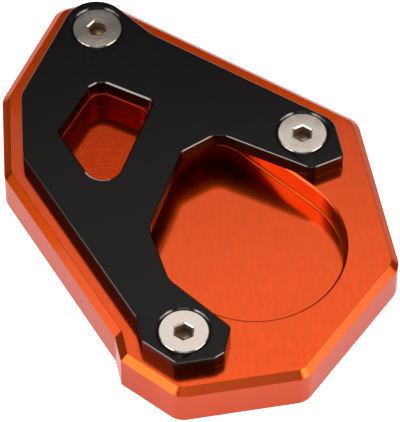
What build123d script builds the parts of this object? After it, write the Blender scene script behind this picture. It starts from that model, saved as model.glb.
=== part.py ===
from build123d import *
from math import cos, radians, sin
import os

# All lengths are in millimetres and all directions in degrees from +X.
# The rear edge of the base runs along X, the underside lies at Z = 0, and the origin is under its middle.

# Foot pocket: round at the toe and square at the heel, measured from the centre of its round end
FOOT_X = 23.13
FOOT_Y = 0.06
FOOT_R = 22.0
FOOT_HEEL = 33.0
FOOT_HEEL_R = 9.0
FOOT_HEEL_ANGLE = 169.0
FOOT_DEPTH = 7.0
FOOT_RIM = 0.5
FOOT_FLOOR_R = 0.6

# Base plate: thickness and edges
BASE_T = 12.0
BASE_CHAMFER = 1.75
BASE_EDGE_BREAK = 0.3
BASE_CORNER_R = 5.0
BASE_FLARE_R = 1.0

# Base outline: the direction that each main side faces, and its reach from the foot's centre
BASE_REAR = 45.7
BASE_REAR_ANGLE = 90.0
BASE_END = 74.7
BASE_END_ANGLE = 186.0
BASE_FRONT_LEFT = 41.6
BASE_FRONT_LEFT_ANGLE = 241.5
BASE_FRONT = 45.0
BASE_FRONT_ANGLE = 263.5
BASE_RIGHT = 31.6
BASE_RIGHT_ANGLE = 355.5

# Base facets: how far each cuts back the corner of two main sides, and how one turns from midway
NOSE_CUT = 6.17
LEFT_CUT = 6.25
FRONT_RIGHT_CUT = 15.87
FRONT_RIGHT_SKEW_ANGLE = 1.5
REAR_RIGHT_CUT = 23.98

# Flare: the short side by which the front lug stands out from the front left side, on base and clamp alike
FLARE_OUT = 2.1
FLARE_ANGLE = 18.0

# Screws: countersunk, with a hex socket
THREAD_D = 6.0
SCREW_LENGTH = 14.0
HEAD_D = 12.0
HEAD_EDGE = 0.2
HEAD_LAND = 0.72
TIP_CHAMFER = 0.8
SOCKET_ACROSS = 4.0
SOCKET_DEPTH = 3.2
SOCKET_MOUTH = 0.37
CLAMP_HOLE_GAP = 0.3
THREAD_GAP = 0.05
HOLE_MOUTH = 0.5

# Screw places: two beside the foot's round end, and one at the clamp's nose
FRONT_SCREW_WALL = 10.6
SIDE_SCREW_WALL = 9.8
SIDE_SCREW_BACK = 5.2
NOSE_SCREW_SPAN = 59.9
NOSE_SCREW_RISE = 1.9
FRONT_SOCKET_ANGLE = 57.0
SIDE_SOCKET_ANGLE = 57.0
NOSE_SOCKET_ANGLE = 20.0

# Clamp plate: thickness and edges
CLAMP_T = 4.3
CLAMP_CHAMFER = 0.4
CLAMP_EDGE_BREAK = 0.15

# Clamp outline: lug sides are measured from their screw, land sides from the base, notch sides from the foot
NECK_REACH = 8.2
NOSE_REACH = 8.6
LUG_FRONT = 8.2
LUG_FRONT_RIGHT = 8.65
LUG_REACH = 10.6
LUG_CORNER_REACH = 10.35
TIP_RIGHT = 8.4
CLAMP_LEFT_LAND = 4.8
CLAMP_FRONT_LAND = 5.2
CLAMP_REAR = 7.4
NECK_ANGLE = 76.7
CLAMP_END_ANGLE = 187.4
LUG_CORNER_ANGLE = 336.0
LUG_RIGHT_ANGLE = 379.0
NOTCH_FRONT_ANGLE = 78.2
NOTCH_LEFT_ANGLE = 49.2
NOTCH_HEEL_ANGLE = 11.8
NOTCH_CORNER_ANGLE = -25.9
NOTCH_REAR_ANGLE = -84.4
NOTCH_GAP = 1.4
NOTCH_HEEL_GAP = 2.4
NOTCH_CORNER_GAP = 7.8
TIP_ANGLE = -33.8

# Clamp corners: crisp ones outside, milled ones inside, and the broad curves of the outline
CLAMP_CRISP_R = 1.0
CLAMP_TIP_R = 1.6
CLAMP_LUG_R = 2.8
CLAMP_BROAD_R = 5.5
NECK_R = 12.0
NOSE_R = 8.0
NOTCH_FRONT_R = 5.0
NOTCH_LEFT_R = 7.5
NOTCH_HEEL_R = 1.6
NOTCH_REAR_R = 4.4

# Window in the clamp, measured from its own middle, which is placed from the nose screw
WINDOW_X = 13.5
WINDOW_Y = -24.0
WINDOW_RIGHT = 12.3
WINDOW_RIGHT_ANGLE = 10.9
WINDOW_REAR = 10.8
WINDOW_REAR_ANGLE = 95.0
WINDOW_REAR_LEFT = 8.1
WINDOW_REAR_LEFT_ANGLE = 155.4
WINDOW_LEFT = 5.2
WINDOW_LEFT_ANGLE = 182.3
WINDOW_FRONT_LEFT = 9.3
WINDOW_FRONT_LEFT_ANGLE = 241.0
WINDOW_CRISP_R = 1.4
WINDOW_REAR_R = 2.8
WINDOW_FRONT_R = 4.7

# Recess in the base under the window
RECESS_DEPTH = 5.0
RECESS_INSET = 0.3
RECESS_R = 4.0
RECESS_RIM = 0.4


def side(facing, reach, centre):
    """A straight side: the direction it faces, and its distance from the origin."""
    return facing, reach + centre[0] * cos(radians(facing)) + centre[1] * sin(radians(facing))


def meet(first, second):
    """The corner where two sides cross."""
    (a, p), (b, q) = (radians(first[0]), first[1]), (radians(second[0]), second[1])
    return (p * sin(b) - q * sin(a)) / sin(b - a), (q * cos(a) - p * cos(b)) / sin(b - a)


def facet(first, second, cut, skew=0):
    """The side that cuts back the corner of two sides, facing midway between them."""
    turn = (second[0] - first[0]) % 360
    return side(first[0] + turn / 2 + skew, -cut, meet(first, second))


def set_back(outer, land):
    """The side that runs along an outer side, a land's width inside it."""
    return outer[0], outer[1] - land


def corners(sides):
    """The corners of a closed outline, each where a side meets the next one."""
    return [meet(one, other) for one, other in zip(sides, sides[1:] + sides[:1])]


def flare(front_left, front):
    """The flared side that leads from the front left side out to the front side."""
    outer_corner = meet((front_left[0], front_left[1] + FLARE_OUT), front)
    return side(front_left[0] - FLARE_ANGLE, 0, outer_corner)


# Places that the pieces share
foot = (FOOT_X, FOOT_Y)
front_screw = (FOOT_X, FOOT_Y - FOOT_R - FRONT_SCREW_WALL)
side_screw = (FOOT_X - SIDE_SCREW_BACK, FOOT_Y + FOOT_R + SIDE_SCREW_WALL)
nose_screw = (side_screw[0] - NOSE_SCREW_SPAN, side_screw[1] + NOSE_SCREW_RISE)
window = (nose_screw[0] + WINDOW_X, nose_screw[1] + WINDOW_Y)
screw_places = [front_screw, side_screw, nose_screw]
socket_angles = [FRONT_SOCKET_ANGLE, SIDE_SOCKET_ANGLE, NOSE_SOCKET_ANGLE]
clamp_top = BASE_T + CLAMP_T
thread_r = THREAD_D / 2
head_r = HEAD_D / 2

# Sides of the base, anticlockwise from the rear
base_rear = side(BASE_REAR_ANGLE, BASE_REAR, foot)
base_end = side(BASE_END_ANGLE, BASE_END, foot)
base_front_left = side(BASE_FRONT_LEFT_ANGLE, BASE_FRONT_LEFT, foot)
base_front = side(BASE_FRONT_ANGLE, BASE_FRONT, foot)
base_right = side(BASE_RIGHT_ANGLE, BASE_RIGHT, foot)
base_left = facet(base_end, base_front_left, LEFT_CUT)
base_front_right = facet(base_front, base_right, FRONT_RIGHT_CUT, FRONT_RIGHT_SKEW_ANGLE)
base_rear_right = facet(base_right, base_rear, REAR_RIGHT_CUT)
base_sides = [
    base_rear,
    facet(base_rear, base_end, NOSE_CUT),
    base_end,
    base_left,
    base_front_left,
    flare(base_front_left, base_front),
    base_front,
    base_front_right,
    base_right,
    base_rear_right,
]
base_radii = [
    BASE_CORNER_R,
    BASE_CORNER_R,
    BASE_CORNER_R,
    BASE_CORNER_R,
    BASE_FLARE_R,
    0,
    BASE_CORNER_R,
    BASE_CORNER_R,
    BASE_CORNER_R,
    BASE_CORNER_R,
]

# Sides of the clamp, anticlockwise from the rear
clamp_front_left = set_back(base_front_left, CLAMP_FRONT_LAND)
clamp_front = side(BASE_FRONT_ANGLE, LUG_FRONT, front_screw)
notch_reach = FOOT_R + NOTCH_GAP
clamp_sides = [
    side(BASE_REAR_ANGLE, CLAMP_REAR, side_screw),
    side(NECK_ANGLE, NECK_REACH, nose_screw),
    side(CLAMP_END_ANGLE, NOSE_REACH, nose_screw),
    set_back(base_left, CLAMP_LEFT_LAND),
    clamp_front_left,
    flare(clamp_front_left, clamp_front),
    clamp_front,
    side(base_front_right[0], LUG_FRONT_RIGHT, front_screw),
    side(LUG_CORNER_ANGLE, LUG_CORNER_REACH, front_screw),
    side(LUG_RIGHT_ANGLE, LUG_REACH, front_screw),
    side(NOTCH_FRONT_ANGLE, -notch_reach, foot),
    side(NOTCH_LEFT_ANGLE, -notch_reach, foot),
    side(NOTCH_HEEL_ANGLE, -FOOT_R - NOTCH_HEEL_GAP, foot),
    side(NOTCH_CORNER_ANGLE, -FOOT_R - NOTCH_CORNER_GAP, foot),
    side(NOTCH_REAR_ANGLE, -notch_reach, foot),
    side(TIP_ANGLE, LUG_REACH, side_screw),
    side(base_rear_right[0], TIP_RIGHT, side_screw),
]
clamp_radii = [
    NECK_R,
    NOSE_R,
    CLAMP_BROAD_R,
    CLAMP_BROAD_R,
    CLAMP_LUG_R,
    CLAMP_CRISP_R,
    CLAMP_LUG_R,
    CLAMP_CRISP_R,
    CLAMP_CRISP_R,
    CLAMP_TIP_R,
    NOTCH_FRONT_R,
    NOTCH_LEFT_R,
    NOTCH_HEEL_R,
    NOTCH_REAR_R,
    CLAMP_LUG_R,
    CLAMP_TIP_R,
    CLAMP_BROAD_R,
]

# Sides of the window, and of the recess below it, anticlockwise from the rear
window_sides = [
    side(WINDOW_REAR_ANGLE, WINDOW_REAR, window),
    side(WINDOW_REAR_LEFT_ANGLE, WINDOW_REAR_LEFT, window),
    side(WINDOW_LEFT_ANGLE, WINDOW_LEFT, window),
    side(WINDOW_FRONT_LEFT_ANGLE, WINDOW_FRONT_LEFT, window),
    side(WINDOW_RIGHT_ANGLE, WINDOW_RIGHT, window),
]
window_radii = [WINDOW_REAR_R, WINDOW_CRISP_R, WINDOW_CRISP_R, WINDOW_FRONT_R, WINDOW_CRISP_R]
recess_sides = [
    side(WINDOW_REAR_ANGLE, WINDOW_REAR - RECESS_INSET, window),
    side(WINDOW_LEFT_ANGLE, WINDOW_LEFT - RECESS_INSET, window),
    side(WINDOW_FRONT_LEFT_ANGLE, WINDOW_FRONT_LEFT - RECESS_INSET, window),
    side(WINDOW_RIGHT_ANGLE, WINDOW_RIGHT - RECESS_INSET, window),
]

# Base plate, with its pocket, its recess and its tapped holes
with BuildPart() as base_plate:
    with BuildSketch():
        with BuildLine():
            FilletPolyline(*corners(base_sides), radius=base_radii, close=True)
        make_face()
    extrude(amount=BASE_T)
    chamfer(base_plate.faces().sort_by(Axis.Z)[-1].edges(), BASE_CHAMFER)
    chamfer(base_plate.faces().sort_by(Axis.Z)[0].edges(), BASE_EDGE_BREAK)
    with BuildSketch(Plane.XY.offset(BASE_T)) as pocket:
        with Locations(Location((FOOT_X, FOOT_Y, 0), (0, 0, FOOT_HEEL_ANGLE))):
            Circle(FOOT_R)
            Rectangle(FOOT_HEEL, 2 * FOOT_R, align=(Align.MIN, Align.CENTER))
        heel_corners = pocket.vertices().sort_by_distance((FOOT_X, FOOT_Y, 0))[-2:]
        fillet(heel_corners, FOOT_HEEL_R)
    extrude(amount=-FOOT_DEPTH, mode=Mode.SUBTRACT)
    floor_centre = (FOOT_X, FOOT_Y, BASE_T - FOOT_DEPTH)
    pocket_floor = base_plate.faces().filter_by(Plane.XY).sort_by_distance(floor_centre)[0]
    fillet(pocket_floor.edges(), FOOT_FLOOR_R)
    with BuildSketch(Plane.XY.offset(BASE_T)):
        with BuildLine():
            FilletPolyline(*corners(recess_sides), radius=RECESS_R, close=True)
        make_face()
    extrude(amount=-RECESS_DEPTH, mode=Mode.SUBTRACT)
    top_openings = base_plate.faces().sort_by(Axis.Z)[-1].inner_wires().sort_by(Axis.X)
    chamfer(top_openings[0].edges(), RECESS_RIM)
    chamfer(top_openings[1].edges(), FOOT_RIM)
    with Locations(*[(x, y, BASE_T) for x, y in screw_places]):
        Hole(thread_r + THREAD_GAP)
    hole_mouths = base_plate.faces().sort_by(Axis.Z)[0].inner_wires().edges()
    chamfer(hole_mouths, HOLE_MOUTH)

# Clamp plate, with its window and its countersunk holes
with BuildPart() as clamp_plate:
    with BuildSketch(Plane.XY.offset(BASE_T)):
        with BuildLine():
            FilletPolyline(*corners(clamp_sides), radius=clamp_radii, close=True)
        make_face()
        with BuildLine():
            FilletPolyline(*corners(window_sides), radius=window_radii, close=True)
        make_face(mode=Mode.SUBTRACT)
    extrude(amount=CLAMP_T)
    chamfer(clamp_plate.faces().sort_by(Axis.Z)[-1].edges(), CLAMP_CHAMFER)
    chamfer(clamp_plate.faces().sort_by(Axis.Z)[0].edges(), CLAMP_EDGE_BREAK)
    with Locations(*[(x, y, clamp_top) for x, y in screw_places]):
        CounterSinkHole(
            radius=thread_r + CLAMP_HOLE_GAP,
            counter_sink_radius=head_r + HEAD_LAND,
            counter_sink_angle=90,
        )

# One screw, with the top of its head at Z = 0
with BuildPart() as screw:
    with BuildSketch(Plane.XZ):
        with BuildLine():
            Polyline(
                (0, 0),
                (head_r - HEAD_EDGE, 0),
                (head_r, -HEAD_EDGE),
                (head_r, -HEAD_LAND),
                (thread_r, -HEAD_LAND - head_r + thread_r),
                (thread_r, TIP_CHAMFER - SCREW_LENGTH),
                (thread_r - TIP_CHAMFER, -SCREW_LENGTH),
                (0, -SCREW_LENGTH),
                close=True,
            )
        make_face()
    revolve(axis=Axis.Z)
    with BuildSketch():
        RegularPolygon(SOCKET_ACROSS / 2, 6, major_radius=False)
    extrude(amount=-SOCKET_DEPTH, mode=Mode.SUBTRACT)
    socket_mouth = screw.faces().sort_by(Axis.Z)[-1].inner_wires().edges()
    chamfer(socket_mouth, SOCKET_MOUTH)

# The three screws in their places, each with its socket at its own angle
with BuildPart() as clamp_screws:
    for (x, y), turn in zip(screw_places, socket_angles):
        with Locations(Location((x, y, clamp_top), (0, 0, turn))):
            add(screw.part)

base_plate.part.label = "base_plate"
clamp_plate.part.label = "clamp_plate"
clamp_screws.part.label = "clamp_screws"

os.makedirs("parts", exist_ok=True)
export_step(base_plate.part, "parts/base_plate.step")
export_step(clamp_plate.part, "parts/clamp_plate.step")
export_step(clamp_screws.part, "parts/clamp_screws.step")
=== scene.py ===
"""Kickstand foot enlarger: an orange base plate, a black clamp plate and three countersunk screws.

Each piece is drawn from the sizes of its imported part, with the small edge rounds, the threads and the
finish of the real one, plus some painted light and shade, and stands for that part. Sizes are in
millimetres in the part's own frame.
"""

import logging
import math
from dataclasses import dataclass, field
from enum import Enum
from typing import Any, Iterable, Optional, Sequence, TypeVar, Union

import bmesh
import bpy
from mathutils import Matrix, Vector


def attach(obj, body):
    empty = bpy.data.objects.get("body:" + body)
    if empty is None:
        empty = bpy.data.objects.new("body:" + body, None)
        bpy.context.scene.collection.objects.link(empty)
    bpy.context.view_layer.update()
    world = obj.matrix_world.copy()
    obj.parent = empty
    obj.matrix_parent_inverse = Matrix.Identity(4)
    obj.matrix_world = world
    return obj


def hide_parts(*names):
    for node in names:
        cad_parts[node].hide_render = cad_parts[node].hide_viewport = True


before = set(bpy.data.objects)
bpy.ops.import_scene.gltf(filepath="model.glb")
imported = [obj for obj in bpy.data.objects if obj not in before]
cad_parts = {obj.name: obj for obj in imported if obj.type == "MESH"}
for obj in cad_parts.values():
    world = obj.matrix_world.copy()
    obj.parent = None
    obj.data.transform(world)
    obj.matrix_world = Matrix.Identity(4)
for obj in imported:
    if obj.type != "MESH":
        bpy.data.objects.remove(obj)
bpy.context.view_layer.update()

MM = 0.001
UP = Vector((0.0, 0.0, 1.0))
ARC_STEP = math.radians(4.0)
SAME_POINT = 1e-7
THREAD_WELD = 5e-6
SHARP = math.radians(12.0)
CHAMFER_STEPS = 1
ROUND_STEPS = 2
HEX_SIDES = 6
NOISE_MIDDLE = 0.5
EVEN = (1.0, 1.0, 1.0)
LEVEL = (1.0, 1.0, 0.0)
BODY = "root"

log = logging.getLogger("foot_enlarger")

Mesh = bmesh.types.BMesh
Vert = bmesh.types.BMVert
Edge = bmesh.types.BMEdge
Face = bmesh.types.BMFace
Thing = bpy.types.Object
Material = bpy.types.Material
Node = bpy.types.Node
Ring = list[Edge]
Pair = tuple[float, float]
Item = TypeVar("Item")


def unique(items: Iterable[Item]) -> list[Item]:
    """Returns the items once each, in the order that they first come in."""
    return list(dict.fromkeys(items))


@dataclass(frozen=True)
class Side:
    """A straight side of an outline: the way it faces, in degrees, and its reach from the origin."""

    facing: float
    reach: float

    @classmethod
    def from_point(cls, facing: float, reach: float, point: Vector) -> "Side":
        """Makes a side that lies a given reach away from a point.

        Args:
            facing: the direction that the side faces, in degrees from +X.
            reach: its distance from the point.
            point: the point, in plan.

        Returns:
            The side.
        """
        return cls(facing, reach + point.dot(heading(facing)))

    def meet(self, other: "Side") -> Vector:
        """Finds the corner where this side crosses another one.

        Args:
            other: the other side.

        Returns:
            The corner, in plan.
        """
        one, two = math.radians(self.facing), math.radians(other.facing)
        across = math.sin(two - one)
        x = (self.reach * math.sin(two) - other.reach * math.sin(one)) / across
        y = (other.reach * math.cos(one) - self.reach * math.cos(two)) / across
        return Vector((x, y))

    def facet(self, other: "Side", cut: float, skew: float = 0.0) -> "Side":
        """Cuts back the corner with another side.

        Args:
            other: the next side, anticlockwise.
            cut: how far back the corner is cut.
            skew: the facet's turn away from midway between the two, in degrees.

        Returns:
            The facet's side.
        """
        turn = (other.facing - self.facing) % 360
        return Side.from_point(self.facing + turn / 2 + skew, -cut, self.meet(other))

    def set_back(self, land: float) -> "Side":
        """Returns the side that runs along this one, a land's width inside it."""
        return Side(self.facing, self.reach - land)


def heading(degrees: float) -> Vector:
    """Returns the unit vector, in plan, of a direction in degrees from +X."""
    return Vector((math.cos(math.radians(degrees)), math.sin(math.radians(degrees))))


def place(plan: Vector, height: float) -> Vector:
    """Returns a point in metres, from a place in plan and a height in millimetres."""
    return Vector((plan.x, plan.y, height)) * MM


@dataclass(frozen=True)
class Outline:
    """A closed outline of straight sides, anticlockwise, with a radius at each side's far corner."""

    sides: Sequence[Side]
    radii: Sequence[float]

    def draw(self, bm: Mesh, height: float) -> Ring:
        """Draws the outline as a ring of edges, each corner spun round its centre.

        Args:
            bm: the mesh to draw in.
            height: the ring's height.

        Returns:
            The ring's edges.
        """
        before = set(bm.edges)
        ends: list[tuple[Vert, Vert]] = []
        following = [*self.sides[1:], self.sides[0]]
        for side, other, radius in zip(self.sides, following, self.radii):
            ends.append(self._corner(bm, side, other, radius, height))
        for (_, last), (first, _) in zip(ends, ends[1:] + ends[:1]):
            bm.edges.new((last, first))
        drawn = unique(v for e in bm.edges if e not in before for v in e.verts)
        bmesh.ops.remove_doubles(bm, verts=drawn, dist=SAME_POINT)
        return [e for e in bm.edges if e not in before]

    @staticmethod
    def _corner(bm: Mesh, side: Side, other: Side, radius: float, height: float) -> tuple[Vert, Vert]:
        """Draws one rounded corner and returns its first and last vertex."""
        turn = math.radians((other.facing - side.facing + 180) % 360 - 180)
        along = heading(side.facing + 90)
        start = side.meet(other) - along * (radius * math.tan(abs(turn) / 2))
        first = bm.verts.new(place(start, height))
        if radius == 0:
            return first, first
        centre = start - heading(side.facing) * math.copysign(radius, turn)
        swept = bmesh.ops.spin(
            bm,
            geom=[first],
            cent=place(centre, height),
            axis=UP,
            angle=turn,
            steps=math.ceil(abs(turn) / ARC_STEP),
        )
        last = next(g for g in swept["geom_last"] if isinstance(g, Vert))
        return first, last


def draw_circle(bm: Mesh, centre: Vector, radius: float, height: float, segments: int) -> Ring:
    """Draws a round ring of edges.

    Args:
        bm: the mesh to draw in.
        centre: the middle, in plan.
        radius: the ring's radius.
        height: the ring's height.
        segments: the number of edges.

    Returns:
        The ring's edges.
    """
    at = Matrix.Translation(place(centre, height))
    made = bmesh.ops.create_circle(bm, radius=radius * MM, segments=segments, matrix=at)
    return unique(e for v in made["verts"] for e in v.link_edges)


def sweep(bm: Mesh, ring: Ring, rise: float, spread: float = 1.0) -> Ring:
    """Draws a wall from a ring, straight or flaring about the ring's own middle.

    Args:
        bm: the mesh that holds the ring.
        ring: the ring that the wall starts from.
        rise: how far the wall goes up, or down where it is negative.
        spread: the scale of the far ring.

    Returns:
        The ring at the wall's far end.
    """
    made = bmesh.ops.extrude_edge_only(bm, edges=ring)["geom"]
    verts = [g for g in made if isinstance(g, Vert)]
    middle = sum((v.co for v in verts), Vector()) / len(verts)
    about = Matrix.Translation(-middle)
    bmesh.ops.scale(bm, verts=verts, vec=(spread, spread, 1.0), space=about)
    bmesh.ops.translate(bm, verts=verts, vec=UP * (rise * MM))
    far = set(verts)
    edges = [g for g in made if isinstance(g, Edge)]
    return [e for e in edges if e.verts[0] in far and e.verts[1] in far]


def fill(bm: Mesh, *rings: Ring) -> None:
    """Fills the flat face that an outer ring and any inner rings bound."""
    bmesh.ops.triangle_fill(bm, edges=[e for ring in rings for e in ring], use_beauty=True)


def ease(bm: Mesh, edges: Iterable[Edge], size: float, steps: int) -> None:
    """Breaks edges, flat with one step and round with more.

    Args:
        bm: the mesh that holds the edges.
        edges: the edges to break.
        size: the break's width on each face.
        steps: the number of faces across the break.
    """
    bmesh.ops.bevel(
        bm,
        geom=list(edges),
        offset=size * MM,
        offset_type="OFFSET",
        segments=steps,
        profile=0.5,
        affect="EDGES",
        clamp_overlap=False,
        material=-1,
    )


def sharp_edges(bm: Mesh) -> Ring:
    """Returns the edges where two faces meet at more than the sharp angle."""
    return [e for e in bm.edges if len(e.link_faces) == 2 and e.calc_face_angle(0.0) > SHARP]


def grown(bm: Mesh, before: set[Face]) -> tuple[list[Face], Ring, list[Vert]]:
    """Returns the faces that a mesh has gained, with their edges and vertices."""
    faces = [f for f in bm.faces if f not in before]
    return faces, unique(e for f in faces for e in f.edges), unique(v for f in faces for v in f.verts)


def make_piece(bm: Mesh, name: str, node: str) -> Thing:
    """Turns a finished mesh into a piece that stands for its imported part.

    Args:
        bm: the mesh, which is freed.
        name: the piece's name.
        node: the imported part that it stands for.

    Returns:
        The piece.
    """
    for face in bm.faces:
        face.smooth = True
    mesh = bpy.data.meshes.new(name)
    bm.to_mesh(mesh)
    bm.free()
    piece = bpy.data.objects.new(name, mesh)
    bpy.context.scene.collection.objects.link(piece)
    lands = piece.modifiers.new("flat_lands", "WEIGHTED_NORMAL")
    lands.keep_sharp = True
    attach(piece, BODY)
    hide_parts(node)
    return piece


@dataclass(frozen=True)
class Layout:
    """The places that the pieces share, in plan."""

    foot: Vector = field(default_factory=lambda: Vector((23.13, 0.06)))
    foot_radius: float = 22.0
    front_screw_wall: float = 10.6
    side_screw_wall: float = 9.8
    side_screw_back: float = 5.2
    nose_screw_span: float = 59.9
    nose_screw_rise: float = 1.9
    window_from_nose: Vector = field(default_factory=lambda: Vector((13.5, -24.0)))
    flare_out: float = 2.1
    flare_turn: float = 18.0

    @property
    def front_screw(self) -> Vector:
        """The screw in front of the foot."""
        return self.foot - Vector((0, self.foot_radius + self.front_screw_wall))

    @property
    def side_screw(self) -> Vector:
        """The screw behind the foot."""
        return self.foot + Vector((-self.side_screw_back, self.foot_radius + self.side_screw_wall))

    @property
    def nose_screw(self) -> Vector:
        """The screw at the clamp's nose."""
        return self.side_screw + Vector((-self.nose_screw_span, self.nose_screw_rise))

    @property
    def screws(self) -> tuple[Vector, Vector, Vector]:
        """All three screws: front, side and nose."""
        return self.front_screw, self.side_screw, self.nose_screw

    @property
    def window(self) -> Vector:
        """The middle of the clamp's window."""
        return self.nose_screw + self.window_from_nose

    def flare(self, front_left: Side, front: Side) -> Side:
        """Returns the short side by which the front lug stands out from the front left side."""
        corner = Side(front_left.facing, front_left.reach + self.flare_out).meet(front)
        return Side.from_point(front_left.facing - self.flare_turn, 0.0, corner)


@dataclass(frozen=True)
class Window:
    """The window in the clamp, and the recess in the base below it, from their middle."""

    right: Pair = (10.9, 12.3)
    rear: Pair = (95.0, 10.8)
    rear_left: Pair = (155.4, 8.1)
    left: Pair = (182.3, 5.2)
    front_left: Pair = (241.0, 9.3)
    crisp: float = 1.4
    rear_radius: float = 2.8
    front_radius: float = 4.7
    recess_inset: float = 0.3
    recess_radius: float = 4.0

    def outline(self, middle: Vector) -> Outline:
        """Returns the window's outline about its middle."""
        facings = (self.rear, self.rear_left, self.left, self.front_left, self.right)
        sides = [Side.from_point(facing, reach, middle) for facing, reach in facings]
        return Outline(sides, [self.rear_radius, self.crisp, self.crisp, self.front_radius, self.crisp])

    def recess(self, middle: Vector) -> Outline:
        """Returns the recess's outline about the same middle."""
        facings = (self.rear, self.left, self.front_left, self.right)
        sides = [Side.from_point(facing, reach - self.recess_inset, middle) for facing, reach in facings]
        return Outline(sides, [self.recess_radius] * len(sides))


@dataclass(frozen=True)
class BasePlate:
    """The orange base plate, with the foot's pocket, the recess and the tapped holes."""

    layout: Layout
    window: Window
    thickness: float = 12.0
    chamfer: float = 1.75
    edge_break: float = 0.3
    corner: float = 5.0
    flare_corner: float = 1.0
    rear: Pair = (90.0, 45.7)
    end: Pair = (186.0, 74.7)
    front_left: Pair = (241.5, 41.6)
    front: Pair = (263.5, 45.0)
    right: Pair = (355.5, 31.6)
    nose_cut: float = 6.17
    left_cut: float = 6.25
    front_right_cut: float = 15.87
    front_right_skew: float = 1.5
    rear_right_cut: float = 23.98
    foot_heel: float = 33.0
    foot_heel_radius: float = 9.0
    foot_heel_facing: float = 169.0
    foot_depth: float = 7.0
    foot_rim: float = 0.5
    foot_floor_radius: float = 0.6
    foot_floor_steps: int = 5
    foot_reach: float = 28.0
    foot_rim_land: float = 0.1
    recess_depth: float = 5.0
    recess_rim: float = 0.2
    recess_rim_land: float = 0.02
    recess_reach: float = 16.5
    recess_curl: Vector = field(default_factory=lambda: Vector((10.4, -11.5)))
    hole_radius: float = 3.05
    hole_mouth: float = 0.5
    hole_segments: int = 64
    edge_round: float = 0.07

    def sides(self) -> dict[str, Side]:
        """Returns the base's sides by name, anticlockwise from the rear."""
        main = {
            name: Side.from_point(*getattr(self, name), self.layout.foot)
            for name in ("rear", "end", "front_left", "front", "right")
        }
        rear, end, right = main["rear"], main["end"], main["right"]
        front_left, front = main["front_left"], main["front"]
        return {
            "rear": rear,
            "nose": rear.facet(end, self.nose_cut),
            "end": end,
            "left": end.facet(front_left, self.left_cut),
            "front_left": front_left,
            "flare": self.layout.flare(front_left, front),
            "front": front,
            "front_right": front.facet(right, self.front_right_cut, self.front_right_skew),
            "right": right,
            "rear_right": right.facet(rear, self.rear_right_cut),
        }

    def outline(self) -> Outline:
        """Returns the base's outline, crisp where the flare meets the front."""
        sides = self.sides()
        special = {"front_left": self.flare_corner, "flare": 0.0}
        return Outline(list(sides.values()), [special.get(name, self.corner) for name in sides])

    def pocket(self) -> Outline:
        """Returns the outline of the foot's pocket, round at the toe and square at the heel."""
        foot, radius, heel = self.layout.foot, self.layout.foot_radius, self.foot_heel_facing
        turns = ((-180.0, radius), (-90.0, radius), (0.0, self.foot_heel), (90.0, radius))
        sides = [Side.from_point(heel + turn, reach, foot) for turn, reach in turns]
        return Outline(sides, [radius, self.foot_heel_radius, self.foot_heel_radius, radius])

    def build(self) -> Thing:
        """Builds the base plate.

        Returns:
            The piece.
        """
        bm = bmesh.new()
        bottom = self.outline().draw(bm, 0.0)
        mouths = [
            draw_circle(bm, screw, self.hole_radius, 0.0, self.hole_segments)
            for screw in self.layout.screws
        ]
        fill(bm, bottom, *mouths)
        top = sweep(bm, bottom, self.thickness)
        hole_tops = [sweep(bm, mouth, self.thickness) for mouth in mouths]
        rim = self.pocket().draw(bm, self.thickness)
        recess_rim = self.window.recess(self.layout.window).draw(bm, self.thickness)
        fill(bm, top, rim, recess_rim, *hole_tops)
        floor = sweep(bm, rim, -self.foot_depth)
        recess_floor = sweep(bm, recess_rim, -self.recess_depth)
        fill(bm, floor)
        fill(bm, recess_floor)
        bmesh.ops.recalc_face_normals(bm, faces=bm.faces)
        ease(bm, top, self.chamfer, CHAMFER_STEPS)
        ease(bm, bottom, self.edge_break, CHAMFER_STEPS)
        ease(bm, rim, self.foot_rim, CHAMFER_STEPS)
        ease(bm, recess_rim, self.recess_rim, CHAMFER_STEPS)
        ease(bm, floor, self.foot_floor_radius, self.foot_floor_steps)
        ease(bm, (e for mouth in mouths for e in mouth), self.hole_mouth, CHAMFER_STEPS)
        ease(bm, sharp_edges(bm), self.edge_round, ROUND_STEPS)
        return make_piece(bm, "orange_base", "base_plate")

    def finish(self) -> Material:
        """Returns the orange anodised skin, with painted shade in the recess and painted reflected light on
        the pocket's wall.
        """
        recess = ShadedRecess(
            middle=self.layout.window,
            reach=self.recess_reach,
            top=self.thickness - self.recess_rim_land,
            floor=self.thickness - self.recess_depth - self.edge_round,
            curl=self.layout.window + self.recess_curl,
        )
        pocket = PocketWithPaintedLight(
            middle=self.layout.foot,
            reach=self.foot_reach,
            top=self.thickness - self.foot_rim - self.foot_rim_land,
        )
        skin = Anodised(
            name="orange_anodised",
            deep=(0.523, 0.0464, 0.0023),
            bright=(0.733, 0.0744, 0.0033),
            edge=(0.75, 0.08, 0.004),
            side=(0.68, 0.088, 0.028),
            grazing=(1.0, 0.6, 0.55),
            metallic=1.0,
            edge_metallic=1.0,
            roughness=0.2,
            edge_roughness=0.29,
            wall_roughness=0.28,
            coat=1.0,
            index=1.225,
            shaded_recess=recess,
            pocket=pocket,
        )
        return skin.make()


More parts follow.
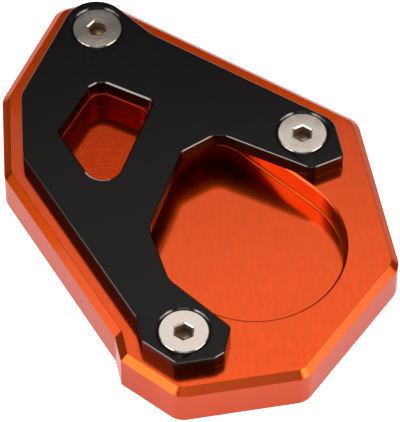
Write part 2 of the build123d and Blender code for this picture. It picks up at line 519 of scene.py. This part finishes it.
@dataclass(frozen=True)
class ClampPlate:
    """The black clamp plate, with its notch round the stand's leg, its window and its countersinks."""

    layout: Layout
    window: Window
    base: BasePlate
    thickness: float = 4.3
    chamfer: float = 0.4
    rim: float = 0.25
    edge_break: float = 0.15
    rear_reach: float = 7.4
    neck: Pair = (76.7, 8.2)
    nose: Pair = (187.4, 8.6)
    left_land: float = 4.8
    front_land: float = 5.2
    lug_front: float = 8.2
    lug_front_right: float = 8.65
    lug_reach: float = 10.6
    lug_corner_reach: float = 10.35
    lug_corner_facing: float = 336.0
    lug_right_facing: float = 379.0
    notch_front: Pair = (78.2, 1.4)
    notch_left: Pair = (49.2, 1.4)
    notch_heel: Pair = (11.8, 2.4)
    notch_corner: Pair = (-25.9, 7.8)
    notch_rear: Pair = (-84.4, 1.4)
    tip_facing: float = -33.8
    tip_right: float = 8.4
    crisp: float = 1.0
    tip_radius: float = 1.6
    lug_radius: float = 2.8
    broad: float = 5.5
    neck_radius: float = 12.0
    nose_radius: float = 8.0
    notch_radii: tuple[float, float, float, float] = (5.0, 7.5, 1.6, 4.4)
    hole_radius: float = 3.3
    sink_radius: float = 6.72
    # Where the painted highlight on the window's front chamfer lies, and its size.
    highlight_centre: Vector = field(default_factory=lambda: Vector((9.8, -10.7)))
    highlight_width: float = 0.05
    highlight_depth: float = 0.1
    hole_segments: int = 96
    edge_round: float = 0.05

    @property
    def top(self) -> float:
        """The height of the clamp's top face."""
        return self.base.thickness + self.thickness

    def outline(self) -> Outline:
        """Returns the clamp's outline, anticlockwise from the rear."""
        base, layout = self.base.sides(), self.layout
        front_screw, side_screw, nose_screw = layout.screws
        front_left = base["front_left"].set_back(self.front_land)
        front = Side.from_point(base["front"].facing, self.lug_front, front_screw)
        notch = [
            Side.from_point(facing, -layout.foot_radius - gap, layout.foot)
            for facing, gap in (
                self.notch_front,
                self.notch_left,
                self.notch_heel,
                self.notch_corner,
                self.notch_rear,
            )
        ]
        corners = [
            (Side.from_point(base["rear"].facing, self.rear_reach, side_screw), self.neck_radius),
            (Side.from_point(*self.neck, nose_screw), self.nose_radius),
            (Side.from_point(*self.nose, nose_screw), self.broad),
            (base["left"].set_back(self.left_land), self.broad),
            (front_left, self.lug_radius),
            (layout.flare(front_left, front), self.crisp),
            (front, self.lug_radius),
            (Side.from_point(base["front_right"].facing, self.lug_front_right, front_screw), self.crisp),
            (Side.from_point(self.lug_corner_facing, self.lug_corner_reach, front_screw), self.crisp),
            (Side.from_point(self.lug_right_facing, self.lug_reach, front_screw), self.tip_radius),
            *zip(notch, [*self.notch_radii, self.lug_radius]),
            (Side.from_point(self.tip_facing, self.lug_reach, side_screw), self.tip_radius),
            (Side.from_point(base["rear_right"].facing, self.tip_right, side_screw), self.broad),
        ]
        return Outline([side for side, _ in corners], [radius for _, radius in corners])

    def build(self) -> Thing:
        """Builds the clamp plate.

        Returns:
            The piece.
        """
        bm = bmesh.new()
        underside = self.base.thickness
        cone = self.sink_radius - self.hole_radius
        bottom = self.outline().draw(bm, underside)
        window = self.window.outline(self.layout.window).draw(bm, underside)
        holes = [
            draw_circle(bm, screw, self.hole_radius, underside, self.hole_segments)
            for screw in self.layout.screws
        ]
        fill(bm, bottom, window, *holes)
        top = sweep(bm, bottom, self.thickness)
        window_top = sweep(bm, window, self.thickness)
        throats = [sweep(bm, hole, self.thickness - cone) for hole in holes]
        sinks = [sweep(bm, throat, cone, self.sink_radius / self.hole_radius) for throat in throats]
        fill(bm, top, window_top, *sinks)
        bmesh.ops.recalc_face_normals(bm, faces=bm.faces)
        ease(bm, top, self.rim, CHAMFER_STEPS)
        ease(bm, window_top, self.chamfer, CHAMFER_STEPS)
        ease(bm, bottom + window, self.edge_break, CHAMFER_STEPS)
        ease(bm, sharp_edges(bm), self.edge_round, ROUND_STEPS)
        return make_piece(bm, "black_clamp", "clamp_plate")

    def finish(self) -> Material:
        """Returns the black anodised skin, with a painted highlight on the window's round front end."""
        painted_highlight = PaintedHighlight(
            centre=self.layout.window + self.highlight_centre,
            radius=self.window.front_radius,
            width=self.chamfer + self.highlight_width,
            floor=self.top - self.chamfer - self.highlight_depth,
        )
        skin = Anodised(
            name="black_anodised",
            deep=(0.0045, 0.0036, 0.0037),
            bright=(0.0055, 0.0044, 0.0046),
            edge=(0.085, 0.08, 0.078),
            side=(0.16, 0.145, 0.135),
            grazing=(1.0, 0.88, 0.86),
            metallic=0.0,
            edge_metallic=1.0,
            roughness=0.17,
            edge_roughness=0.17,
            wall_roughness=0.22,
            coat=0.0,
            index=1.237,
            painted_highlight=painted_highlight,
        )
        return skin.make()


@dataclass(frozen=True)
class ClampScrew:
    """One countersunk screw with a hex socket and a rolled thread."""

    name: str
    place: Vector
    top: float
    socket_angle: float
    thread_radius: float = 3.0
    length: float = 14.0
    head_radius: float = 6.0
    head_edge: float = 0.2
    head_land: float = 0.72
    socket_across: float = 4.0
    socket_depth: float = 3.2
    socket_mouth: float = 0.37
    tip_chamfer: float = 0.8
    pitch: float = 1.0
    thread_depth: float = 0.58
    thread_start: float = 0.2
    spare_turns: int = 2
    thread_flanks: tuple[float, float, float] = (0.4, 0.55, 0.95)
    plain_neck: float = 1.2
    segments: int = 96
    thread_segments: int = 32
    edge_round: float = 0.04

    def _head(self, bm: Mesh) -> Ring:
        """Draws the head down to the plain neck, and returns the neck's lower ring."""
        here = Vector((0.0, 0.0))
        rim = self.head_radius - self.head_edge
        face = draw_circle(bm, here, rim, 0.0, self.segments)
        mouth = draw_circle(bm, here, self._hex_radius(self.socket_mouth), 0.0, HEX_SIDES)
        fill(bm, face, mouth)
        edge = sweep(bm, face, -self.head_edge, self.head_radius / rim)
        land = sweep(bm, edge, self.head_edge - self.head_land)
        cone = self.head_radius - self.thread_radius
        neck = sweep(bm, land, -cone, self.thread_radius / self.head_radius)
        narrowing = self._hex_radius(0.0) / self._hex_radius(self.socket_mouth)
        throat = sweep(bm, mouth, -self.socket_mouth, narrowing)
        floor = sweep(bm, throat, self.socket_mouth - self.socket_depth)
        fill(bm, floor)
        return sweep(bm, neck, -self.plain_neck)

    def _hex_radius(self, mouth: float) -> float:
        """Returns the corner radius of the socket, widened by its mouth's chamfer."""
        return (self.socket_across / 2 + mouth) / math.cos(math.pi / HEX_SIDES)

    def _thread(self, bm: Mesh, neck: Ring) -> None:
        """Sweeps the thread's profile down a helix, trims both ends and joins it to the neck.

        Args:
            bm: the screw's mesh.
            neck: the ring that the thread hangs from.
        """
        upper = min(v.co.z for e in neck for v in e.verts) / MM
        crest, root = self.thread_radius, self.thread_radius - self.thread_depth
        profile = zip((root, crest, crest, root, root), (0.0, *self.thread_flanks, 1.0))
        verts = [bm.verts.new(Vector((r, 0.0, upper + rise * self.pitch)) * MM) for r, rise in profile]
        edges = [bm.edges.new(pair) for pair in zip(verts, verts[1:])]
        turns = math.ceil((self.length + upper) / self.pitch) + self.spare_turns
        before = set(bm.faces)
        bmesh.ops.spin(
            bm,
            geom=verts + edges,
            cent=(0.0, 0.0, 0.0),
            axis=UP,
            dvec=UP * (-self.pitch * MM / self.thread_segments),
            angle=math.tau * turns,
            steps=turns * self.thread_segments,
        )
        bmesh.ops.remove_doubles(bm, verts=grown(bm, before)[2], dist=THREAD_WELD)
        for height, drop_above in ((upper - self.thread_start, True), (-self.length, False)):
            faces, edges, verts = grown(bm, before)
            bmesh.ops.bisect_plane(
                bm,
                geom=faces + edges + verts,
                plane_co=(0.0, 0.0, height * MM),
                plane_no=UP,
                clear_outer=drop_above,
                clear_inner=not drop_above,
            )
        _, edges, verts = grown(bm, before)
        for vert in verts:
            limit = (self.thread_radius - self.tip_chamfer + self.length) * MM + vert.co.z
            across = math.hypot(vert.co.x, vert.co.y)
            if across > limit:
                vert.co.x *= limit / across
                vert.co.y *= limit / across
        rims = [e for e in edges if len(e.link_faces) == 1]
        middle = (upper - self.length) / 2 * MM
        upper_rim = [e for e in rims if e.verts[0].co.z > middle]
        lower_rim = [e for e in rims if e.verts[0].co.z < middle]
        bmesh.ops.bridge_loops(bm, edges=upper_rim + neck)
        fill(bm, lower_rim)

    def build(self) -> Thing:
        """Builds the screw in its place.

        Returns:
            The piece.
        """
        bm = bmesh.new()
        neck = self._head(bm)
        self._thread(bm, neck)
        bmesh.ops.recalc_face_normals(bm, faces=bm.faces)
        shoulder = -self.head_land * 2 * MM
        head = [e for e in sharp_edges(bm) if e.verts[0].co.z > shoulder]
        ease(bm, head, self.edge_round, ROUND_STEPS)
        turn = Matrix.Rotation(math.radians(self.socket_angle - 90), 4, "Z")
        seat = Matrix.Translation(place(self.place, self.top)) @ turn
        bmesh.ops.transform(bm, matrix=seat, verts=bm.verts)
        return make_piece(bm, self.name, "clamp_screws")

    def finish(self) -> Material:
        """Returns the turned steel, with its rings about this screw's axis."""
        return TurnedSteel(f"turned_steel_{self.name}", self.place, self.top).make()


class Shade:
    """A value on its way through a finish's nodes, on which sums and products add Math nodes."""

    def __init__(self, tree: "NodeTree", socket: bpy.types.NodeSocket) -> None:
        """Wraps an output socket of a tree."""
        self.tree = tree
        self.socket = socket

    def _math(self, operation: str, first: "Value", second: "Value") -> "Shade":
        """Adds one Math node and returns its result."""
        made = self.tree.add("ShaderNodeMath", {"operation": operation}, {0: first, 1: second})
        return Shade(self.tree, made.outputs[0])

    def __add__(self, other: "Value") -> "Shade":
        """Adds a value."""
        return self._math("ADD", self, other)

    def __radd__(self, other: "Value") -> "Shade":
        """Adds to a value."""
        return self._math("ADD", other, self)

    def __sub__(self, other: "Value") -> "Shade":
        """Takes a value away."""
        return self._math("SUBTRACT", self, other)

    def __rsub__(self, other: "Value") -> "Shade":
        """Takes away from a value."""
        return self._math("SUBTRACT", other, self)

    def __mul__(self, other: "Value") -> "Shade":
        """Multiplies by a value."""
        return self._math("MULTIPLY", self, other)

    def __rmul__(self, other: "Value") -> "Shade":
        """Multiplies a value."""
        return self._math("MULTIPLY", other, self)

    def below(self, limit: "Value") -> "Shade":
        """Returns 1 where the value is below a limit, and 0 elsewhere."""
        return self._math("LESS_THAN", self, limit)

    def above(self, limit: "Value") -> "Shade":
        """Returns 1 where the value is above a limit, and 0 elsewhere."""
        return self._math("GREATER_THAN", self, limit)

    def toward(self, other: "Value", mask: "Shade") -> "Shade":
        """Returns another value where a mask is 1, and this one where it is 0."""
        return self + mask * (other - self)


Value = Union[Shade, float, Sequence[float]]
Inputs = dict[Union[str, int], Value]
Colour = tuple[float, float, float]


class NodeTree:
    """The nodes of one material or of the world."""

    def __init__(self, tree: bpy.types.NodeTree) -> None:
        """Starts with an empty tree."""
        self.tree = tree
        tree.nodes.clear()

    def add(
        self, kind: str, settings: Optional[dict[str, Any]] = None, inputs: Optional[Inputs] = None
    ) -> Node:
        """Adds a node.

        Args:
            kind: the node's type.
            settings: its own settings, which are set first.
            inputs: values or links for its sockets, by name or number.

        Returns:
            The node.
        """
        node = self.tree.nodes.new(kind)
        for name, value in (settings or {}).items():
            setattr(node, name, value)
        for name, value in (inputs or {}).items():
            socket = node.inputs[name]
            if isinstance(value, Shade):
                self.tree.links.new(value.socket, socket)
            else:
                socket.default_value = value
        return node

    def out(self, node: Node, name: Union[str, int] = 0) -> Shade:
        """Returns one of a node's outputs as a value."""
        return Shade(self, node.outputs[name])

    def close(self, shader: Node, kind: str = "ShaderNodeOutputMaterial") -> None:
        """Makes a shader the tree's result."""
        self.add(kind, {}, {"Surface": self.out(shader)})

    def spot(
        self, scale: Sequence[float] = EVEN, turn: float = 0.0, shift: Vector = Vector((0.0, 0.0))
    ) -> Shade:
        """Returns the place on the piece in millimetres, scaled and turned for a pattern.

        Args:
            scale: the pattern's repeats to a millimetre, along each axis.
            turn: the pattern's turn about the vertical, in degrees.
            shift: the point that becomes the pattern's middle, in plan.

        Returns:
            The mapped place.
        """
        coordinates = self.out(self.add("ShaderNodeTexCoord"), "Object")
        centred = self.add(
            "ShaderNodeVectorMath", {"operation": "SUBTRACT"}, {0: coordinates, 1: place(shift, 0.0)}
        )
        mapped = self.add(
            "ShaderNodeMapping",
            {"vector_type": "POINT"},
            {
                "Vector": self.out(centred),
                "Rotation": (0.0, 0.0, math.radians(turn)),
                "Scale": (1 / MM, 1 / MM, 1 / MM),
            },
        )
        stretched = self.add(
            "ShaderNodeVectorMath", {"operation": "MULTIPLY"}, {0: self.out(mapped), 1: tuple(scale)}
        )
        return self.out(stretched)

    def apart(self, centre: Vector) -> Shade:
        """Returns the distance in plan from a point, in millimetres."""
        flat = self.spot(LEVEL, shift=centre)
        return self.out(self.add("ShaderNodeVectorMath", {"operation": "LENGTH"}, {0: flat}), "Value")

    def height(self) -> Shade:
        """Returns the height above the ground face, in millimetres."""
        return self.out(self.add("ShaderNodeSeparateXYZ", {}, {0: self.spot()}), "Z")

    def slope(self) -> Shade:
        """Returns how far the surface looks up: 1 on a level face, and 0 on a wall."""
        facing = self.out(self.add("ShaderNodeNewGeometry"), "True Normal")
        return self.out(self.add("ShaderNodeSeparateXYZ", {}, {0: facing}), "Z")

    def noise(self, where: Shade, detail: float, roughness: float, rings: Optional[float] = None) -> Shade:
        """Returns a pattern between 0 and 1, cloudy over a place or in rings over a distance.

        Args:
            where: the mapped place, or the distance from the rings' middle.
            detail: the number of finer layers.
            roughness: the strength of the finer layers.
            rings: the number of rings to a millimetre, if it is rings.

        Returns:
            The pattern's value.
        """
        socket, kind = ("Vector", "3D") if rings is None else ("W", "1D")
        made = self.add(
            "ShaderNodeTexNoise",
            {"noise_dimensions": kind},
            {socket: where, "Scale": rings or 1.0, "Detail": detail, "Roughness": roughness},
        )
        return self.out(made, "Fac")

    def blend(self, mask: Shade, first: Value, second: Value, clamped: bool = True) -> Shade:
        """Mixes two colours.

        Args:
            mask: 0 for the first colour, and 1 for the second.
            first: the first colour.
            second: the second colour.
            clamped: whether the mix stops at the two colours.

        Returns:
            The mixed colour.
        """
        paints = [p if isinstance(p, Shade) else (*p, 1.0) for p in (first, second)]
        made = self.add(
            "ShaderNodeMix",
            {"data_type": "RGBA", "clamp_factor": clamped},
            {"Factor": mask, "A": paints[0], "B": paints[1]},
        )
        return self.out(made, 2)

    def bump(self, relief: Shade, strength: float, depth: float) -> Shade:
        """Returns the surface's direction over a relief of a given depth, in millimetres."""
        inputs = {"Height": relief, "Strength": strength, "Distance": depth * MM}
        return self.out(self.add("ShaderNodeBump", {}, inputs))


def start_material(name: str) -> tuple[Material, NodeTree]:
    """Starts a material and returns it with its empty tree."""
    material = bpy.data.materials.new(name)
    material.use_nodes = True
    return material, NodeTree(material.node_tree)


@dataclass(frozen=True)
class Pattern:
    """An uneven pattern: its repeats to a millimetre, its finer layers, and its weight in a finish."""

    scale: Colour
    detail: float
    roughness: float
    weight: float
    turn: float = 0.0

    def clouds(self, tree: NodeTree) -> Shade:
        """Returns the pattern as clouds over the whole piece, between 0 and 1."""
        return tree.noise(tree.spot(self.scale, self.turn), self.detail, self.roughness)

    def rings(self, tree: NodeTree, centre: Vector) -> Shade:
        """Returns the pattern as rings about a point in plan, between 0 and 1."""
        return tree.noise(tree.apart(centre), self.detail, self.roughness, self.scale[0])


@dataclass(frozen=True)
class ShadedRecess:
    """A blind recess darkened with painted shade for the shade and dark reflections under the clamp, with
    real cutter marks that curl round one end.
    """

    middle: Vector
    reach: float
    top: float
    floor: float
    curl: Vector
    marks: Pattern = Pattern((2.0, 2.0, 2.0), 2.0, 0.6, 1.2)
    # Painted shade: how far the recess's floor is darkened.
    painted_shade: float = 1.6
    coat_loss: float = 0.8
    roughness: float = 0.16
    wall_roughness: float = 0.48
    # Painted shade: the dark red of the recess's walls and rim.
    wall: Colour = (0.36, 0.024, 0.001)

    def mask(self, tree: NodeTree) -> Shade:
        """Returns 1 inside the recess, and 0 elsewhere."""
        height = tree.height()
        return tree.apart(self.middle).below(self.reach) * height.below(self.top) * height.above(self.floor)


@dataclass(frozen=True)
class PocketWithPaintedLight:
    """A pocket with a dull round foot and a wall brightened with painted light reflected between the wall
    and floor.
    """

    middle: Vector
    reach: float
    top: float
    foot_roughness: float = 0.4
    foot: Colour = (0.7, 0.1, 0.004)
    # Painted light: a brighter, yellower orange for light reflected between the pocket's wall and floor.
    wall: Colour = (0.72, 0.23, 0.022)

    def mask(self, tree: NodeTree) -> Shade:
        """Returns 1 in the pocket, and 0 elsewhere."""
        return tree.apart(self.middle).below(self.reach) * tree.height().below(self.top)


@dataclass(frozen=True)
class PaintedHighlight:
    """A painted highlight: a near-white, non-metallic arc on part of a round chamfer, standing in for a
    reflection of light.
    """

    centre: Vector
    radius: float
    width: float
    floor: float
    facing: float = 282.0
    reach: float = 3.4
    # Painted highlight: the arc's near-white colour.
    colour: Colour = (0.85, 0.82, 0.79)

    def mask(self, tree: NodeTree) -> Shade:
        """Returns 1 on the painted highlight, and 0 elsewhere."""
        out = tree.apart(self.centre)
        middle = self.centre + heading(self.facing) * (self.radius + self.width / 2)
        ring = out.above(self.radius) * out.below(self.radius + self.width)
        return ring * tree.height().above(self.floor) * tree.apart(middle).below(self.reach)


@dataclass(frozen=True)
class Anodised:
    """A dyed oxide skin on machined aluminium: coloured metal under a clear hard coat."""

    name: str
    deep: Colour
    bright: Colour
    edge: Colour
    side: Colour
    grazing: Colour
    metallic: float
    edge_metallic: float
    roughness: float
    edge_roughness: float
    wall_roughness: float
    coat: float
    index: float
    shaded_recess: Optional[ShadedRecess] = None
    pocket: Optional[PocketWithPaintedLight] = None
    painted_highlight: Optional[PaintedHighlight] = None
    clouds: Pattern = Pattern((0.05, 0.05, 0.05), 3.0, 0.5, 0.3)
    streaks: Pattern = Pattern((0.3, 1.3, 1.3), 4.0, 0.65, 1.1, 52.0)
    grain: Pattern = Pattern((7.0, 7.0, 7.0), 2.0, 0.5, 0.25)
    shade_shift: float = 0.325
    gloss_spread: float = 0.02
    edge_slope: float = 0.95
    wall_slope: float = 0.3
    relief_strength: float = 0.06
    relief_depth: float = 0.02
    coat_roughness: float = 0.04

    def make(self) -> Material:
        """Makes the material.

        Returns:
            The material.
        """
        material, tree = start_material(self.name)
        clouds, streaks = self.clouds.clouds(tree), self.streaks.clouds(tree)
        relief = grain = self.grain.clouds(tree)
        shade = clouds * self.clouds.weight + streaks * self.streaks.weight + grain * self.grain.weight
        shade = shade - self.shade_shift
        slope = tree.slope()
        cut, wall = slope.below(self.edge_slope), slope.below(self.wall_slope)
        roughness = (streaks - NOISE_MIDDLE) * self.gloss_spread + self.roughness
        roughness = roughness.toward(self.edge_roughness, cut).toward(self.wall_roughness, wall)
        metallic: Value = self.metallic
        if self.edge_metallic != self.metallic:
            metallic = cut * (self.edge_metallic - self.metallic) + self.metallic
        coat: Value = self.coat
        spots: list[tuple[Shade, Colour]] = [(cut, self.edge), (wall, self.side)]
        if self.shaded_recess is not None:
            recess_shade = self.shaded_recess
            inside, marks = recess_shade.mask(tree), recess_shade.marks.rings(tree, recess_shade.curl)
            # Painted shade: the recess is darkened for the shade under the clamp; the rings are the
            # cutter's real marks.
            shade = shade + inside * (marks * recess_shade.marks.weight - recess_shade.painted_shade)
            relief = relief + inside * marks
            coat = self.coat - inside * (recess_shade.coat_loss * self.coat)
            roughness = roughness.toward(recess_shade.roughness, inside).toward(recess_shade.wall_roughness, inside * cut)
            # Painted shade: the recess's walls and rim take a dark red.
            spots.append((inside * cut, recess_shade.wall))
        if self.pocket is not None:
            milled = self.pocket.mask(tree) * cut
            roughness = roughness.toward(self.pocket.foot_roughness, milled * (1.0 - wall))
            # The pocket's wall takes painted reflected light; its foot gets its own colour and roughness.
            spots += [(milled, self.pocket.foot), (milled * wall, self.pocket.wall)]
        if self.painted_highlight is not None:
            # Painted highlight: the arc turns to a white, non-metallic colour.
            highlight = self.painted_highlight.mask(tree)
            metallic = metallic * (1.0 - highlight)
            spots.append((highlight, self.painted_highlight.colour))
        colour = tree.blend(shade, self.deep, self.bright, clamped=False)
        for mask, paint in spots:
            colour = tree.blend(mask, colour, paint)
        skin = tree.add(
            "ShaderNodeBsdfPrincipled",
            {},
            {
                "Base Color": colour,
                "Metallic": metallic,
                "Roughness": roughness,
                "IOR": self.index,
                "Specular Tint": (*self.grazing, 1.0),
                "Coat Weight": coat,
                "Coat Roughness": self.coat_roughness,
                "Coat IOR": self.index,
                "Normal": tree.bump(relief, self.relief_strength, self.relief_depth),
            },
        )
        tree.close(skin)
        return material


@dataclass(frozen=True)
class TurnedSteel:
    """Bright stainless steel, faced on a lathe about one screw's axis, with a hex socket whose walls carry
    painted shade and whose floor carries painted light.
    """

    name: str
    axis: Vector
    face: float
    dull: Colour = (0.45, 0.39, 0.35)
    bright: Colour = (0.58, 0.5, 0.44)
    metallic: float = 0.75
    roughness: float = 0.08
    turning: Pattern = Pattern((9.0, 9.0, 9.0), 3.0, 0.7, 0.9)
    mottle: Pattern = Pattern((2.5, 2.5, 2.5), 4.0, 0.7, 1.4)
    gloss_spread: float = 0.08
    shade_shift: float = 0.65
    relief_strength: float = 0.15
    relief_depth: float = 0.02
    # Painted shade on the socket's walls and painted light on its floor.
    socket_wall_shade: Colour = (0.3, 0.2, 0.14)
    socket_floor_light: Colour = (0.62, 0.46, 0.32)
    forged_roughness: float = 0.3
    floor_slope: float = 0.5
    socket_reach: float = 2.6
    socket_top: float = 0.3
    socket_bottom: float = 3.4

    def make(self) -> Material:
        """Makes the material.

        Returns:
            The material.
        """
        material, tree = start_material(self.name)
        apart, height = tree.apart(self.axis), tree.height()
        ring, mottle = self.turning.rings(tree, self.axis), self.mottle.clouds(tree)
        shade = mottle * self.mottle.weight + ring * self.turning.weight - self.shade_shift
        faced = tree.blend(shade, self.dull, self.bright, clamped=False)
        # Painted light and shade in the socket: dark walls and a lighter floor.
        socket_light_and_shade = tree.blend(tree.slope().above(self.floor_slope), self.socket_wall_shade, self.socket_floor_light)
        in_socket = height.below(self.face - self.socket_top) * height.above(self.face - self.socket_bottom)
        in_socket = in_socket * apart.below(self.socket_reach)
        gloss = (ring - NOISE_MIDDLE) * self.gloss_spread + self.roughness
        skin = tree.add(
            "ShaderNodeBsdfPrincipled",
            {},
            {
                "Base Color": tree.blend(in_socket, faced, socket_light_and_shade),
                "Metallic": self.metallic,
                "Roughness": gloss + in_socket * self.forged_roughness,
                "Normal": tree.bump(ring, self.relief_strength, self.relief_depth),
            },
        )
        tree.close(skin)
        return material


class Seen(Enum):
    """Which rays see the plain white of the floor and the room."""

    CAMERA = "Is Camera Ray"
    GLOSSY = "Is Glossy Ray"
    TRANSMISSION = "Is Transmission Ray"


@dataclass(frozen=True)
class Softbox:
    """A rectangular lamp that faces a point on the part."""

    name: str
    azimuth: float
    elevation: float
    distance: float
    width: float
    height: float
    radiance: float
    roll: float = 0.0
    target: tuple[float, float, float] = (0.0, 0.0, 10.0)

    def build(self) -> Thing:
        """Builds the lamp.

        Returns:
            The lamp's object.
        """
        lamp = bpy.data.lights.new(self.name, "AREA")
        lamp.shape = "RECTANGLE"
        lamp.size = self.width * MM
        lamp.size_y = self.height * MM
        lamp.energy = self.radiance * math.pi * lamp.size * lamp.size_y
        holder = bpy.data.objects.new(self.name, lamp)
        up = math.radians(self.elevation)
        out = Vector((*(heading(self.azimuth) * math.cos(up)), math.sin(up)))
        holder.location = (Vector(self.target) + out * self.distance) * MM
        holder.rotation_mode = "QUATERNION"
        rolled = Matrix.Rotation(math.radians(self.roll), 4, "Z").to_quaternion()
        holder.rotation_quaternion = out.to_track_quat("Z", "Y") @ rolled
        bpy.context.scene.collection.objects.link(holder)
        return holder


@dataclass(frozen=True)
class Viewpoint:
    """The photograph's camera, in the part's frame."""

    target: tuple[float, float, float] = (2.64, 9.03, 0.0)
    turn: float = 30.81
    elevation: float = 54.41
    roll: float = 0.19
    distance: float = 909.2
    focal_pixels: float = 3713.8
    frame_pixels: tuple[int, int] = (400, 422)
    sensor: float = 36.0
    clip: Pair = (0.05, 20.0)

    def build(self) -> Thing:
        """Builds the camera and makes it the scene's own.

        Returns:
            The camera's object.
        """
        turn, lift, roll = (math.radians(a) for a in (self.turn, self.elevation, self.roll))
        ahead = Vector((*(heading(self.turn + 90) * math.cos(lift)), -math.sin(lift)))
        level = Vector((math.cos(turn), math.sin(turn), 0.0))
        upright = level.cross(ahead)
        right = level * math.cos(roll) + upright * math.sin(roll)
        up = upright * math.cos(roll) - level * math.sin(roll)
        lens = bpy.data.cameras.new("photograph")
        long_side = max(self.frame_pixels)
        lens.sensor_fit = "AUTO"
        lens.sensor_width = self.sensor
        lens.lens = self.focal_pixels / long_side * self.sensor
        lens.clip_start, lens.clip_end = self.clip
        camera = bpy.data.objects.new("photograph", lens)
        turned = Matrix((right, up, -ahead)).transposed().to_4x4()
        stand = (Vector(self.target) - ahead * self.distance) * MM
        camera.matrix_world = Matrix.Translation(stand) @ turned
        bpy.context.scene.collection.objects.link(camera)
        bpy.context.scene.camera = camera
        return camera


@dataclass(frozen=True)
class Studio:
    """The white table, the softboxes and the camera."""

    floor_size: float = 400.0
    floor_drop: float = 0.1
    floor_white: float = 0.9
    floor_glow: float = 0.42
    floor_albedo: float = 0.8
    floor_roughness: float = 0.9
    room: float = 0.08
    softboxes: tuple[Softbox, ...] = (
        Softbox("overhead", 104.0, 65.55, 2400.0, 1120.0, 1180.0, 1.58, 13.0),
        Softbox("ceiling", 104.0, 90.0, 2400.0, 900.0, 900.0, 1.4),
        Softbox("key_left", -145.0, 52.0, 700.0, 150.0, 300.0, 3.7),
        Softbox("front_left", -114.0, 25.0, 700.0, 360.0, 290.0, 3.3),
        Softbox("front_left_core", -102.0, 32.0, 690.0, 180.0, 180.0, 3.0),
        Softbox("left_fill", -135.2, 16.0, 700.0, 345.0, 260.0, 1.9),
        Softbox("front_right", 6.0, 27.0, 700.0, 480.0, 440.0, 3.2),
        Softbox("front_right_core", -7.0, 30.0, 690.0, 240.0, 160.0, 3.0),
        Softbox("front_fill", -58.0, 25.0, 700.0, 420.0, 340.0, 0.8),
    )

    def _glow(self, tree: NodeTree) -> Shade:
        """Returns the table's own light, for the rays that see it."""
        path = tree.add("ShaderNodeLightPath")
        camera, glossy, through = (tree.out(path, seen.value) for seen in Seen)
        return camera * self.floor_white + (glossy + through) * self.floor_glow

    def build(self) -> None:
        """Builds the floor, the room's light, the softboxes and the camera."""
        self._floor()
        self._room()
        for softbox in self.softboxes:
            softbox.build()
        Viewpoint().build()
        bpy.context.scene.view_settings.view_transform = "Standard"

    def _floor(self) -> None:
        """Lays a white table that keeps the part's shadow."""
        bm = bmesh.new()
        bmesh.ops.create_grid(bm, x_segments=1, y_segments=1, size=self.floor_size / 2 * MM)
        bmesh.ops.translate(bm, verts=bm.verts, vec=UP * (-self.floor_drop * MM))
        mesh = bpy.data.meshes.new("white_table")
        bm.to_mesh(mesh)
        bm.free()
        table = bpy.data.objects.new("white_table", mesh)
        bpy.context.scene.collection.objects.link(table)
        material, tree = start_material("white_table")
        skin = tree.add(
            "ShaderNodeBsdfPrincipled",
            {},
            {
                "Base Color": (self.floor_albedo, self.floor_albedo, self.floor_albedo, 1.0),
                "Roughness": self.floor_roughness,
                "Specular IOR Level": 0.0,
                "Emission Color": self._glow(tree),
                "Emission Strength": 1.0,
            },
        )
        tree.close(skin)
        mesh.materials.append(material)

    def _room(self) -> None:
        """Lights the room plainly, white to the camera."""
        world = bpy.data.worlds.new("room")
        bpy.context.scene.world = world
        world.use_nodes = True
        tree = NodeTree(world.node_tree)
        camera = tree.out(tree.add("ShaderNodeLightPath"), Seen.CAMERA.value)
        white = self.room + camera * (1.0 - self.room)
        light = tree.add("ShaderNodeBackground", {}, {"Color": white, "Strength": 1.0})
        tree.close(light, "ShaderNodeOutputWorld")


def write_sizes() -> None:
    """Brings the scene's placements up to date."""
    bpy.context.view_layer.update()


def main() -> None:
    """Builds the part, dresses it, and sets it on the white table."""
    logging.basicConfig(level=logging.INFO, format="%(name)s: %(message)s")
    layout, window = Layout(), Window()
    base = BasePlate(layout, window)
    clamp = ClampPlate(layout, window, base)
    socket_angles = {"screw_front": 57.0, "screw_side": 57.0, "screw_nose": 20.0}
    screws = [
        ClampScrew(name, spot, clamp.top, angle)
        for (name, angle), spot in zip(socket_angles.items(), layout.screws)
    ]
    for part in (base, clamp, *screws):
        piece, finish = part.build(), part.finish()
        piece.data.materials.append(finish)
        log.info("%s: %d faces, %s", piece.name, len(piece.data.polygons), finish.name)
    Studio().build()
    write_sizes()


if __name__ == "__main__":
    main()
